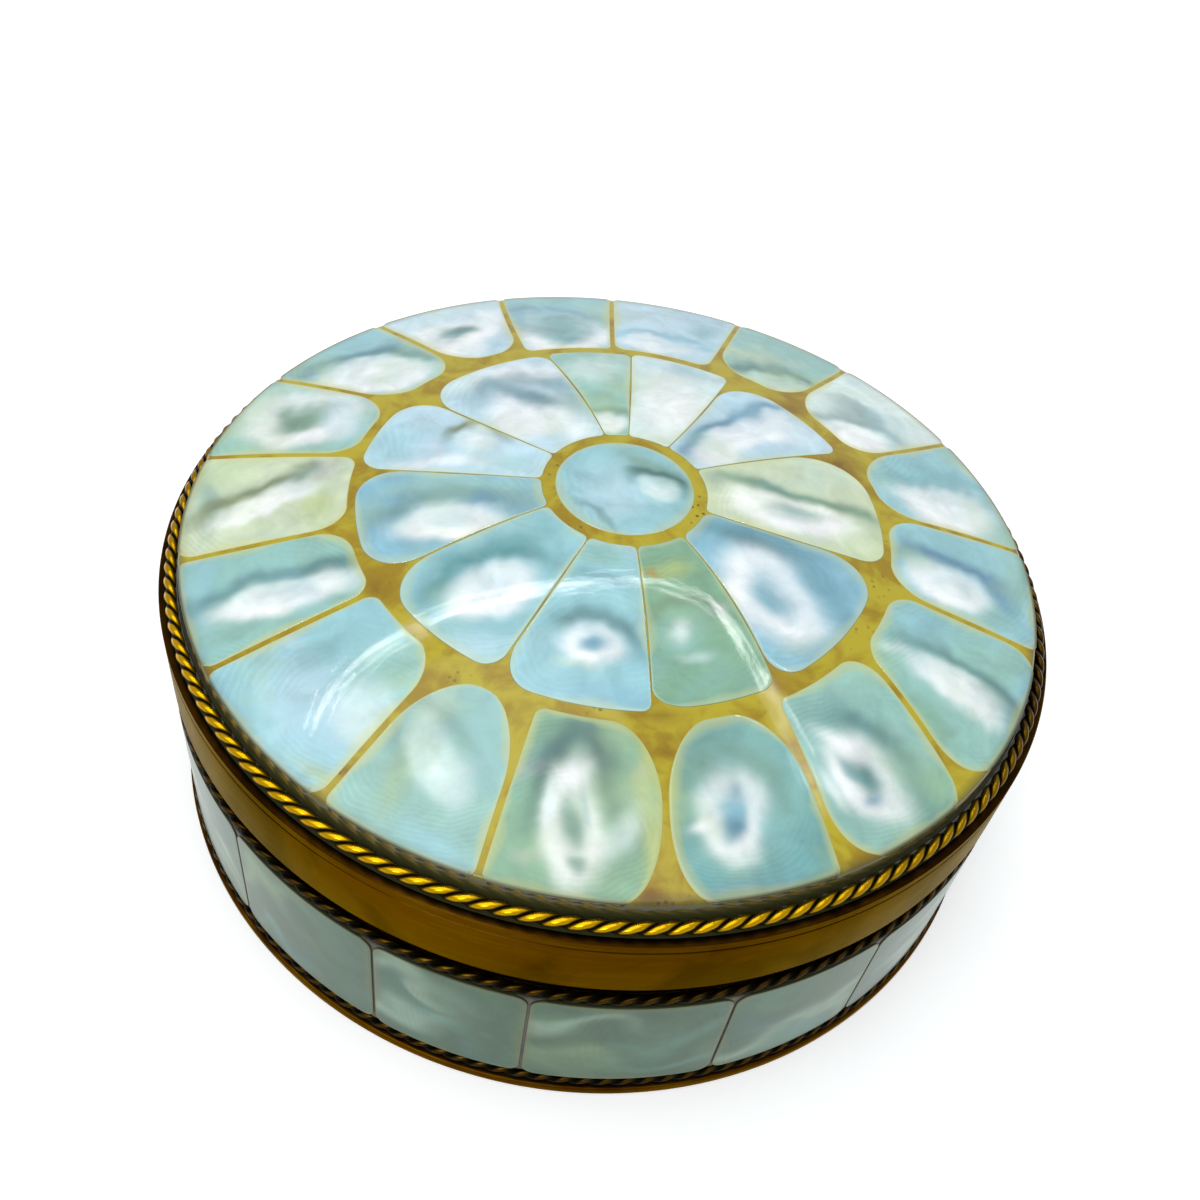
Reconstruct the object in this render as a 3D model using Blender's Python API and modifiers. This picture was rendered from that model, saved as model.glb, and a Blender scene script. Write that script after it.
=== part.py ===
# Round box with a lift-off domed lid, mother-of-pearl tiles in resin over brass.
# Metres, +Z up. The origin is the centre of the underside, the front faces -Y.

import math

import bmesh
import bpy

MM = 0.001

# Shared sizes
BOX_RADIUS = 46.0 * MM          # outside of the lid's band and of the side tiles
FIT_GAP = 0.3 * MM              # left between pieces that touch
TURN_STEPS = 40                 # facets round a turned piece
ROPE_STEPS = 6                  # facets round a rope's own section

# Base, from the underside up
FLOOR_THICK = 1.0 * MM
SHELL_WALL = 0.9 * MM
FOOT_HEIGHT = 1.0 * MM
FOOT_REACH = 0.4 * MM           # how far the foot stands out past the tiles
FOOT_ROPE_RADIUS = 0.5 * MM
SIDE_TILE_HEIGHT = 14.8 * MM
SIDE_TILE_THICK = 1.4 * MM
SIDE_TILE_CORNER = 1.9 * MM
SIDE_BED_THICK = 0.6 * MM
LEDGE_THICK = 1.0 * MM
SIDE_ROPE_RADIUS = 0.5 * MM
NECK_CLEARANCE = 0.6 * MM       # between the neck and the band that slips over it

# Lid, from the band up
BAND_DROP = 2.0 * MM            # shadowed recess between the ledge and the band
BAND_HEIGHT = 7.7 * MM
BAND_WALL = 1.2 * MM
LIP_WALL = 0.8 * MM
EDGE_ROUND = 0.15 * MM
PLATE_THICK = 0.9 * MM
BED_FLOOR = 1.0 * MM            # resin left under the lid's tiles
TILE_THICK = 1.6 * MM
TILE_INSET = 2.1 * MM           # from the band's outside to the tiles' rim
RIM_RISE = 2.85 * MM            # the tiles' rim above the band's top
DOME_RISE = 6.1 * MM            # the crown above the tiles' rim
DOME_POWER = 1.7                # 2 is a paraboloid, less is more pointed at the crown
LID_ROPE_RADIUS = 0.75 * MM
ROPE_TO_TILE = 0.3 * MM
ROPE_LIFT = 0.3 * MM            # under the lid's rope, above the band's top
ROPE_SEAT_START = 200           # degrees, where the rope's seat leaves the tiled rim
ROPE_SEAT_STEPS = 3

# Lid tiles
CENTER_TILE_RADIUS = 7.0 * MM
CENTER_JOINT = 1.5 * MM         # resin round the centre tile
INNER_TILE_LENGTH = 17.7 * MM
RING_JOINT = 2.1 * MM           # resin between the two rings of tiles
INNER_JOINT = 0.5 * MM
OUTER_JOINT = 1.0 * MM
SIDE_JOINT = 0.6 * MM

# Joints between the tiles, in degrees from +X, each at its outer and its inner end
OUTER_JOINTS = (
    (200, 200.5), (219, 219.5), (242, 241.5), (261.5, 260.5), (281.5, 283.5), (302, 306),
    (321.5, 329.5), (349.5, 348.5), (369, 371.5), (393.5, 390.5), (415.5, 413.5), (435.5, 434.5),
    (457.5, 458.5), (476.5, 480.5), (498.5, 497), (519.5, 517.5), (539.5, 538),
)
INNER_JOINTS = (
    (217.5, 212.5), (251, 252), (282, 284), (308, 318), (354, 349.5), (392.5, 394),
    (428.5, 423.5), (454, 453.5), (476, 470.5), (513, 516.5), (542.5, 544.5),
)
SIDE_JOINTS = (
    228.5, 250.5, 269, 292, 311.5, 332.5, 353.5, 375.5, 396.5, 418, 439, 461,
    482, 503.5, 525, 546, 567.5,
)

# Rounding of a tile's ends, as shares of its half width and of its length
INNER_TILE_ROUND = {"start": (0.30, 0.07), "end": (0.72, 0.22)}
OUTER_TILE_ROUND = {"start": (0.64, 0.23), "end": (0.16, 0.08)}
ARCH_STEPS = 3                  # facets round a tile's arched end, for each quarter
CORNER_STEPS = 2                # facets round a tile's plain corner
END_STEPS = 3                   # facets across a lid tile's outer end
CORE_TURN = 2.5                 # degrees, keeps the hidden facets' edges off those above them

# Places worked out from the sizes
tile_rim = BOX_RADIUS - TILE_INSET
inner_tile_start = CENTER_TILE_RADIUS + CENTER_JOINT
inner_tile_end = inner_tile_start + INNER_TILE_LENGTH
outer_tile_start = inner_tile_end + RING_JOINT
foot_rope_z = FOOT_HEIGHT + FIT_GAP + FOOT_ROPE_RADIUS
foot_rope_r = BOX_RADIUS + FOOT_REACH / 2 - FOOT_ROPE_RADIUS
side_tile_low = foot_rope_z + FOOT_ROPE_RADIUS + FIT_GAP
side_tile_top = side_tile_low + SIDE_TILE_HEIGHT
side_tile_back = BOX_RADIUS - SIDE_TILE_THICK
side_bed_face = side_tile_back - FIT_GAP
side_bed_back = side_bed_face - SIDE_BED_THICK
shell_face = side_bed_back - FIT_GAP
ledge_low = side_tile_top + FIT_GAP
ledge_top = ledge_low + LEDGE_THICK
neck_face = BOX_RADIUS - BAND_WALL - NECK_CLEARANCE
side_rope_z = side_tile_top + FIT_GAP + SIDE_ROPE_RADIUS
side_rope_r = BOX_RADIUS - SIDE_ROPE_RADIUS
ledge_face = side_rope_r - SIDE_ROPE_RADIUS - FIT_GAP
band_low = ledge_top + BAND_DROP
band_top = band_low + BAND_HEIGHT
lid_rope_z = band_top + ROPE_LIFT + LID_ROPE_RADIUS
lid_rope_r = tile_rim + ROPE_TO_TILE + LID_ROPE_RADIUS
bed_edge = BOX_RADIUS - LIP_WALL - FIT_GAP

# Radii where the dome's facets change slope, with the first ones between the tile rings
dome_rings = (
    (CENTER_TILE_RADIUS + inner_tile_start) / 2,
    (inner_tile_start + inner_tile_end) / 2,
    (inner_tile_end + outer_tile_start) / 2,
    (outer_tile_start + tile_rim) / 2,
)
hidden_rings = (dome_rings[0], dome_rings[2])


def dome_z(r, below=0.0):
    # Height of the lid's tiled face at a radius, less a depth under it
    return band_top + RIM_RISE + DOME_RISE * (1 - (r / tile_rim) ** DOME_POWER) - below


bed_under = TILE_THICK + FIT_GAP + BED_FLOOR
plate_over = bed_under + FIT_GAP
plate_under = plate_over + PLATE_THICK


def clear_scene():
    for item in list(bpy.data.objects):
        bpy.data.objects.remove(item, do_unlink=True)


def new_collection(name):
    group = bpy.data.collections.new(name)
    bpy.context.scene.collection.children.link(group)
    return group


clear_scene()
box = new_collection("shell_box")
cutters = new_collection("cutters")


def material(name, color, roughness, metallic):
    mat = bpy.data.materials.new(name)
    mat.use_nodes = True
    shader = mat.node_tree.nodes["Principled BSDF"]
    shader.inputs["Base Color"].default_value = (*color, 1.0)
    shader.inputs["Roughness"].default_value = roughness
    shader.inputs["Metallic"].default_value = metallic
    mat.diffuse_color = (*color, 1.0)
    return mat


aged_brass = material("aged_brass", (0.30, 0.18, 0.04), 0.35, 1.0)
rope_brass = material("rope_brass", (0.62, 0.40, 0.06), 0.25, 1.0)
gold_resin = material("gold_resin", (0.50, 0.38, 0.14), 0.2, 0.0)
dark_resin = material("dark_resin", (0.06, 0.05, 0.03), 0.35, 0.0)
lid_shell_tile = material("lid_pearl", (0.62, 0.78, 0.80), 0.15, 0.0)
side_shell_tile = material("side_pearl", (0.50, 0.64, 0.60), 0.2, 0.0)


def add_object(name, mesh, mat, group):
    item = bpy.data.objects.new(name, mesh)
    if mat:
        mesh.materials.append(mat)
    group.objects.link(item)
    if group is cutters:
        item.hide_render = True
        item.display_type = "WIRE"
    return item


def turned(name, profile, mat, group=box, closed=False, steps=TURN_STEPS):
    # A profile of (radius, height) points, turned once round Z
    mesh = bpy.data.meshes.new(name)
    edges = [(i, i + 1) for i in range(len(profile) - 1)]
    if closed:
        edges.append((len(profile) - 1, 0))
    mesh.from_pydata([(r, 0.0, z) for r, z in profile], edges, [])
    item = add_object(name, mesh, mat, group)
    screw = item.modifiers.new("turn", "SCREW")
    screw.axis = "Z"
    screw.angle = math.tau
    screw.steps = steps
    screw.render_steps = steps
    screw.use_merge_vertices = True
    screw.merge_threshold = 0.00001
    screw.use_smooth_shade = True
    return item


def ring(name, radius, height, wire, mat):
    # A round wire bent to a ring
    bpy.ops.mesh.primitive_torus_add(
        major_radius=radius, minor_radius=wire,
        major_segments=TURN_STEPS, minor_segments=ROPE_STEPS,
        location=(0.0, 0.0, height),
    )
    item = bpy.context.object
    item.name = name
    item.data.materials.append(mat)
    item.data.shade_smooth()
    for group in list(item.users_collection):
        group.objects.unlink(item)
    box.objects.link(item)
    return item


def prism(name, outline, low, high, mat, group):
    # A flat outline in X and Y, filled and extruded from one height to another
    curve = bpy.data.curves.new(name, "CURVE")
    curve.dimensions = "2D"
    curve.fill_mode = "BOTH"
    curve.extrude = (high - low) / 2
    spline = curve.splines.new("POLY")
    spline.points.add(len(outline) - 1)
    for point, (x, y) in zip(spline.points, outline):
        point.co = (x, y, 0.0, 1.0)
    spline.use_cyclic_u = True
    guide = bpy.data.objects.new(name + "_outline", curve)
    guide.location = (0.0, 0.0, (low + high) / 2)
    cutters.objects.link(guide)
    bpy.context.view_layer.update()
    graph = bpy.context.evaluated_depsgraph_get()
    mesh = bpy.data.meshes.new_from_object(guide.evaluated_get(graph))
    mesh.name = name
    shape = bmesh.new()
    shape.from_mesh(mesh)
    bmesh.ops.remove_doubles(shape, verts=shape.verts, dist=0.000005)
    shape.to_mesh(mesh)
    shape.free()
    item = add_object(name, mesh, mat, group)
    item.matrix_world = guide.matrix_world
    bpy.data.objects.remove(guide, do_unlink=True)
    return item


def cut(item, cutter, operation):
    boolean = item.modifiers.new(operation.lower(), "BOOLEAN")
    boolean.operation = operation
    boolean.object = cutter
    boolean.solver = "EXACT"
    return boolean


def arc(center_r, center_z, radius, start, end, steps):
    # Points of an arc in the turned section, angles in degrees
    points = []
    for i in range(steps + 1):
        angle = math.radians(start + (end - start) * i / steps)
        points.append((center_r + radius * math.cos(angle), center_z + radius * math.sin(angle)))
    return points


def dome_line(radii, below):
    return [(r, dome_z(r, below)) for r in radii]


def rounded_slab(rounding, end_steps):
    # Rounded rectangle from -1 to 1 across and from 0 to 1 along, as (across, along)
    start_u, start_v = rounding["start"]
    end_u, end_v = rounding["end"]
    corners = (
        (1 - start_u, start_v, start_u, start_v, -90),
        (1 - end_u, 1 - end_v, end_u, end_v, 0),
        (end_u - 1, 1 - end_v, end_u, end_v, 90),
        (start_u - 1, start_v, start_u, start_v, 180),
    )
    points = []
    for number, (u, v, width, length, angle) in enumerate(corners):
        steps = ARCH_STEPS if width > 0.5 else CORNER_STEPS
        for i in range(steps + 1):
            turn = math.radians(angle + 90 * i / steps)
            points.append((u + width * math.cos(turn), v + length * math.sin(turn)))
        if number == 1:
            for i in range(1, end_steps):
                points.append((u - 2 * u * i / end_steps, 1.0))
    return points


def wedge_outline(joint_a, joint_b, start, end, joint, rounding, grow=0.0):
    # A tile between two joints; each joint is (degrees at its outer end, at its inner end)
    inner = start - grow
    outer = end + grow
    points = []
    for across, along in rounded_slab(rounding, END_STEPS):
        r = inner + (outer - inner) * along
        share = (r - start) / (end - start)
        a = math.radians(joint_a[1] + (joint_a[0] - joint_a[1]) * share)
        b = math.radians(joint_b[1] + (joint_b[0] - joint_b[1]) * share)
        half = (b - a) / 2 - (joint / 2 - grow) / r
        angle = (a + b) / 2 + across * half
        points.append((r * math.cos(angle), r * math.sin(angle)))
    return points


def circle_outline(radius, steps):
    # Its points stand between the facet edges of the dome
    angles = [math.tau * (i + 0.25) / steps for i in range(steps)]
    return [(radius * math.cos(angle), radius * math.sin(angle)) for angle in angles]


def next_joint(joints, i):
    # The joint after number i, a full turn on where the row closes
    if i + 1 < len(joints):
        return joints[i + 1]
    first = joints[0]
    if isinstance(first, tuple):
        return (first[0] + 360, first[1] + 360)
    return first + 360


# Guides that give the lid's tiles their domed faces and the bed its pockets
well_below = plate_under + PLATE_THICK
well_above = dome_z(0.0) + TILE_THICK
guide_edge = BOX_RADIUS + BAND_WALL


def tile_blank():
    # Everything under the lid's tiled face
    profile = [(0.0, dome_z(0.0))]
    profile += dome_line(dome_rings, 0.0)
    profile += [(guide_edge, dome_z(guide_edge)), (guide_edge, 0.0), (0.0, 0.0)]
    return turned("tile_blank", profile, None, cutters)


def domed_core(name, below):
    # Everything deeper under the tiled face than a depth, with few facets
    profile = [(0.0, dome_z(0.0, below))]
    profile += dome_line(hidden_rings, below)
    profile += [(guide_edge, dome_z(guide_edge, below)), (guide_edge, 0.0), (0.0, 0.0)]
    core = turned(name, profile, None, cutters, steps=TURN_STEPS // 2)
    core.rotation_euler.z = math.radians(CORE_TURN)
    return core


blank = tile_blank()
tile_core = domed_core("tile_core", TILE_THICK)
pocket_core = domed_core("pocket_core", TILE_THICK + FIT_GAP)


def lid_tile(name, outline):
    tile = prism(name, outline, dome_z(BOX_RADIUS, well_below), well_above, lid_shell_tile, box)
    cut(tile, blank, "INTERSECT")
    cut(tile, tile_core, "DIFFERENCE")
    return tile


def pocket(name, outline):
    space = prism(name, outline, dome_z(BOX_RADIUS, well_below), well_above, None, cutters)
    cut(space, pocket_core, "DIFFERENCE")
    return space


def lid_tile_rows():
    # Name and outline function of every tile on the lid
    rows = []

    def center(grow):
        return circle_outline(CENTER_TILE_RADIUS + grow, TURN_STEPS // 2)

    rows.append(("lid_center_tile", center))
    rings = (
        ("lid_inner_tile", INNER_JOINTS, inner_tile_start, inner_tile_end, INNER_JOINT,
         INNER_TILE_ROUND),
        ("lid_outer_tile", OUTER_JOINTS, outer_tile_start, tile_rim, OUTER_JOINT,
         OUTER_TILE_ROUND),
    )
    for label, joints, start, end, joint, rounding in rings:
        for i, here in enumerate(joints):
            after = next_joint(joints, i)

            def wedge(grow, here=here, after=after, start=start, end=end, joint=joint,
                      rounding=rounding):
                return wedge_outline(here, after, start, end, joint, rounding, grow)

            rows.append((f"{label}_{i + 1:02d}", wedge))
    return rows


def lid_shell():
    # Domed plate with the band round it and a thin lip standing up past the plate
    lip_inside = BOX_RADIUS - LIP_WALL
    band_inside = BOX_RADIUS - BAND_WALL
    profile = dome_line((0.0,) + hidden_rings + (lip_inside,), plate_over)
    profile += [
        (lip_inside, band_top - EDGE_ROUND),
        (lip_inside + EDGE_ROUND, band_top),
        (BOX_RADIUS - EDGE_ROUND, band_top),
        (BOX_RADIUS, band_top - EDGE_ROUND),
        (BOX_RADIUS, band_low + EDGE_ROUND),
        (BOX_RADIUS - EDGE_ROUND, band_low),
        (band_inside, band_low),
    ]
    profile += dome_line((band_inside,) + hidden_rings[::-1] + (0.0,), plate_under)
    return turned("lid_shell", profile, aged_brass)


def lid_bed():
    # Resin flush with the tiles, steep at the rim and hollowed under the rope
    seat = LID_ROPE_RADIUS + FIT_GAP
    out = math.degrees(math.acos((bed_edge - lid_rope_r) / seat))
    profile = dome_line((0.0,) + dome_rings + (tile_rim,), 0.0)
    profile += arc(lid_rope_r, lid_rope_z, seat, ROPE_SEAT_START, 360 - out, ROPE_SEAT_STEPS)
    profile += dome_line((bed_edge,) + hidden_rings[::-1] + (0.0,), bed_under)
    bed = turned("lid_resin_bed", profile, gold_resin)
    for name, outline in lid_tile_rows():
        cut(bed, pocket(name + "_pocket", outline(FIT_GAP)), "DIFFERENCE")
    return bed


def base_shell():
    # Cup with a floor, a ledge over the side tiles and a neck inside the lid's band
    neck_inside = neck_face - SHELL_WALL
    shell_inside = shell_face - SHELL_WALL
    neck_top = dome_z(neck_face, plate_under) - FIT_GAP
    profile = [
        (neck_inside, neck_top),
        (neck_face - EDGE_ROUND, neck_top),
        (neck_face, neck_top - EDGE_ROUND),
        (neck_face, ledge_top),
        (ledge_face, ledge_top),
        (ledge_face, ledge_low),
        (shell_face, ledge_low),
        (shell_face, 0.0),
        (0.0, 0.0),
    ]
    inside = [
        (0.0, FLOOR_THICK),
        (shell_inside, FLOOR_THICK),
        (shell_inside, ledge_low),
        (neck_inside, ledge_top),
    ]
    return turned("base_shell", profile + inside, aged_brass, closed=True)


def side_bed():
    profile = [
        (side_bed_back, side_tile_top),
        (side_bed_face, side_tile_top),
        (side_bed_face, side_tile_low),
        (side_bed_back, side_tile_low),
    ]
    return turned("side_resin_bed", profile, dark_resin, closed=True)


def foot_ring():
    profile = [
        (side_bed_back, FOOT_HEIGHT),
        (BOX_RADIUS + FOOT_REACH, FOOT_HEIGHT),
        (BOX_RADIUS + FOOT_REACH, 0.0),
        (side_bed_back, 0.0),
    ]
    return turned("foot_ring", profile, aged_brass, closed=True)


def side_blank():
    # Ring from which the side tiles are cut
    over = SIDE_TILE_CORNER
    profile = [
        (side_tile_back, side_tile_top + over),
        (BOX_RADIUS, side_tile_top + over),
        (BOX_RADIUS, side_tile_low - over),
        (side_tile_back, side_tile_low - over),
    ]
    return turned("side_blank", profile, None, cutters, closed=True)


side_ring = side_blank()


def side_tile(name, start, end):
    # Rounded rectangle stood upright at its angle, its sides pointing at the axis
    half = BOX_RADIUS * math.sin(math.radians(end - start) / 2) - SIDE_JOINT / 2
    corner = (SIDE_TILE_CORNER / half, SIDE_TILE_CORNER / SIDE_TILE_HEIGHT)
    flat = rounded_slab({"start": corner, "end": corner}, 1)
    outline = [(across * half, (along - 0.5) * SIDE_TILE_HEIGHT) for across, along in flat]
    near = side_tile_back - SIDE_TILE_THICK
    far = BOX_RADIUS + SIDE_TILE_THICK
    tile = prism(name, outline, near, far, side_shell_tile, box)
    for vertex in tile.data.vertices:
        vertex.co.x *= (vertex.co.z + (near + far) / 2) / BOX_RADIUS
    middle = math.radians(start + end) / 2
    tile.rotation_euler = (math.pi / 2, 0.0, middle + math.pi / 2)
    tile.location = (
        (near + far) / 2 * math.cos(middle),
        (near + far) / 2 * math.sin(middle),
        (side_tile_low + side_tile_top) / 2,
    )
    cut(tile, side_ring, "INTERSECT")
    return tile


lid_shell()
lid_bed()
for tile_name, tile_outline in lid_tile_rows():
    lid_tile(tile_name, tile_outline(0.0))
ring("lid_rope", lid_rope_r, lid_rope_z, LID_ROPE_RADIUS, rope_brass)
base_shell()
side_bed()
for number, side_joint in enumerate(SIDE_JOINTS):
    side_tile(f"side_tile_{number + 1:02d}", side_joint, next_joint(SIDE_JOINTS, number))
ring("side_rope", side_rope_r, side_rope_z, SIDE_ROPE_RADIUS, rope_brass)
ring("foot_rope", foot_rope_r, foot_rope_z, FOOT_ROPE_RADIUS, rope_brass)
foot_ring()
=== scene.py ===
import math

import bpy
import numpy as np
from mathutils import Matrix, Vector


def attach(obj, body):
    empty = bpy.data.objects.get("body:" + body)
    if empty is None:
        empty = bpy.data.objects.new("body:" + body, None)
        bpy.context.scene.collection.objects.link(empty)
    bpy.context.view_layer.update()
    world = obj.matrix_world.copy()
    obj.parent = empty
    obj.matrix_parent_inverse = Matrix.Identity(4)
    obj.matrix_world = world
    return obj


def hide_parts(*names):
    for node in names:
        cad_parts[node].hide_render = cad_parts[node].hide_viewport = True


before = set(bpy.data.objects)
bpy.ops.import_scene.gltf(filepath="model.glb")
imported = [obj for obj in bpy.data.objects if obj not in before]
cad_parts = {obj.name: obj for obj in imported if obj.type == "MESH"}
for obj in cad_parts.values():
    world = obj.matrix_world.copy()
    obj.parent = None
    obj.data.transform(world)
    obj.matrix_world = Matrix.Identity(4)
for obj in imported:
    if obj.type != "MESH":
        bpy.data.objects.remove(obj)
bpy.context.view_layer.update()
mm = 0.001
turn = 2 * math.pi

# Sizes shared by several pieces, in millimetres, as in the solids
box = {
    "radius": 46.0,
    "bandTop": 28.4,
    "bandLow": 20.7,
    "bandWall": 1.2,
    "lipWall": 0.8,
    "tileRim": 43.9,
    "centerTile": 7.1,
    "rimRise": 2.85,
    "domeRise": 6.1,
    "domePower": 1.7,
    "bedDepth": 2.9,      # from the tiled face to the underside of the resin
    "plateOver": 3.2,
    "plateUnder": 4.1,
    "floor": 1.0,
    "shellFace": 43.4,
    "shellInside": 42.5,
    "neckFace": 44.2,
    "neckInside": 43.3,
    "neckTop": 26.8,
    "ledgeFace": 44.7,
    "ledgeLow": 17.7,
    "ledgeTop": 18.7,
    "bedBack": 43.7,
    "footTop": 1.0,
    "footFace": 46.4,
    "shellCorner": 0.12,  # radii of edges
    "bedCorner": 0.2,
    "footCorner": 0.25,
}


def domeHeight(r):
    # The rim's height plus the rise times one less a power of the share of the rim's radius
    rim = box["bandTop"] + box["rimRise"]
    return rim + box["domeRise"] * (1 - (np.abs(r) / box["tileRim"]) ** box["domePower"])


def tone(red, green, blue):
    # A screen colour of 0 to 255 as the linear colour that shaders use
    share = np.array([red, green, blue]) / 255
    return np.where(share <= 0.04045, share / 12.92, ((share + 0.055) / 1.055) ** 2.4)


# Camera: the photograph's viewpoint, also used to place the clouds in the tiles
view = {
    "elevation": 43.11,   # degrees
    "distance": 2.801,    # in box radii, from the middle of the band's top
    "roll": 9.48,
    "aimSide": -0.29,     # degrees off that point
    "aimUp": -2.49,
    "lens": 36.37,
    "sensor": 36.0,
    "photoSize": 1200,    # pixels
}


def cameraFrame():
    # Place of the eye and the picture's right, up and forward directions
    lift = math.radians(view["elevation"])
    unit = box["radius"] * mm
    eye = np.array([0, -math.cos(lift), math.sin(lift)]) * view["distance"]
    ahead = -eye / np.linalg.norm(eye)
    side = np.array([1.0, 0, 0])
    above = np.cross(side, ahead)
    ahead = ahead + math.tan(math.radians(view["aimSide"])) * side
    ahead = ahead + math.tan(math.radians(view["aimUp"])) * above
    ahead /= np.linalg.norm(ahead)
    side = np.cross(ahead, above)
    side /= np.linalg.norm(side)
    above = np.cross(side, ahead)
    roll = math.radians(view["roll"])
    right = math.cos(roll) * side + math.sin(roll) * above
    up = math.cos(roll) * above - math.sin(roll) * side
    return eye * unit + np.array([0, 0, box["bandTop"] * mm]), right, up, ahead


def photoPlace(points):
    # Where points in metres fall in the photograph, in pixels from its top left
    eye, right, up, ahead = cameraFrame()
    away = points - eye
    reach = view["lens"] / view["sensor"] * view["photoSize"] / (away @ ahead)
    half = view["photoSize"] / 2
    return half + (away @ right) * reach, half - (away @ up) * reach


def makeCamera():
    eye, right, up, ahead = cameraFrame()
    lens = bpy.data.cameras.new("photo_camera")
    lens.lens = view["lens"]
    lens.sensor_width = view["sensor"]
    lens.clip_start = 0.01
    item = bpy.data.objects.new("photo_camera", lens)
    bpy.context.scene.collection.objects.link(item)
    turned = Matrix((right, up, -ahead)).transposed().to_4x4()
    item.matrix_world = Matrix.Translation(Vector(eye)) @ turned
    bpy.context.scene.camera = item


makeCamera()
print("camera placed")


# Shader maths: a socket that adds, multiplies and divides as a number would
class Wire:
    def __init__(self, shader, socket):
        self.shader = shader
        self.socket = socket

    def sum(self, operation, first, second=0.0, clamp=False):
        settings = {"operation": operation, "use_clamp": clamp}
        return self.shader.node("Math", settings, {0: first, 1: second})

    def __add__(self, other):
        return self.sum("ADD", self, other)

    def __radd__(self, other):
        return self.sum("ADD", other, self)

    def __sub__(self, other):
        return self.sum("SUBTRACT", self, other)

    def __rsub__(self, other):
        return self.sum("SUBTRACT", other, self)

    def __mul__(self, other):
        return self.sum("MULTIPLY", self, other)

    def __rmul__(self, other):
        return self.sum("MULTIPLY", other, self)

    def __truediv__(self, other):
        return self.sum("DIVIDE", self, other)

    def sine(self):
        return self.sum("SINE", self)

    def clamped(self):
        return self.sum("ADD", self, 0.0, clamp=True)

    def step(self, low, high):
        # 0 at low, 1 at high, with soft ends
        values = {"Value": self, "From Min": low, "From Max": high}
        return self.shader.node("MapRange", {"interpolation_type": "SMOOTHSTEP"}, values)


class Finish:
    # One material; node() adds any node and gives one of its outputs
    def __init__(self, name):
        self.material = bpy.data.materials.new(name)
        self.material.use_nodes = True
        self.tree = self.material.node_tree
        self.tree.nodes.clear()

    def node(self, kind, settings=None, values=None, out=0):
        made = self.tree.nodes.new("ShaderNode" + kind)
        for key, value in (settings or {}).items():
            setattr(made, key, value)
        for key, value in (values or {}).items():
            socket = made.inputs[key]
            if isinstance(value, Wire):
                self.tree.links.new(value.socket, socket)
            elif socket.type == "RGBA":
                socket.default_value = (*value, 1.0)
            else:
                socket.default_value = value
        return Wire(self, made.outputs[out]) if made.outputs else None

    def place(self):
        return self.node("TexCoord", out="Object")

    def value(self, name):
        return self.node("Attribute", {"attribute_name": name}, out="Fac")

    def colour(self, name):
        return self.node("Attribute", {"attribute_name": name}, out="Color")

    def noise(self, vector, scale, detail=3.0, rough=0.5, warp=0.0):
        values = {"Vector": vector, "Scale": scale, "Detail": detail}
        values.update({"Roughness": rough, "Distortion": warp})
        return self.node("TexNoise", None, values)

    def mapped(self, vector, scale, spin=(0.0, 0.0, 0.0)):
        values = {"Vector": vector, "Scale": scale, "Rotation": spin}
        return self.node("Mapping", None, values)

    def blend(self, first, second, share, mode="MIX"):
        settings = {"data_type": "RGBA", "blend_type": mode}
        return self.node("Mix", settings, {0: share, 6: first, 7: second}, out=2)

    def bump(self, height, depth, strength=1.0):
        values = {"Height": height, "Distance": depth, "Strength": strength}
        return self.node("Bump", None, values)

    def finish(self, **sockets):
        values = {key.replace("_", " "): value for key, value in sockets.items()}
        shader = self.node("BsdfPrincipled", None, values)
        self.node("OutputMaterial", None, {"Surface": shader})
        return self.material


# Meshes from grids of points
def writeLayers(mesh, used, uv, values, paint):
    # UVs, named numbers and colours of the used points, for the materials to read
    if uv is not None:
        flat = np.asarray(uv, float).reshape(-1, 2)[used]
        order = np.zeros(len(mesh.loops), np.int32)
        mesh.loops.foreach_get("vertex_index", order)
        layer = mesh.uv_layers.new(name="place")
        layer.data.foreach_set("uv", flat[order].astype(np.float32).ravel())
    for key, numbers in (values or {}).items():
        layer = mesh.attributes.new(key, "FLOAT", "POINT")
        layer.data.foreach_set("value", np.asarray(numbers, np.float32).reshape(-1)[used])
    if paint is not None:
        layer = mesh.attributes.new("paint", "FLOAT_COLOR", "POINT")
        flat = np.ones((len(used), 4), np.float32)
        flat[:, :3] = np.asarray(paint).reshape(-1, 3)[used]
        layer.data.foreach_set("color", flat.ravel())


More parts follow.
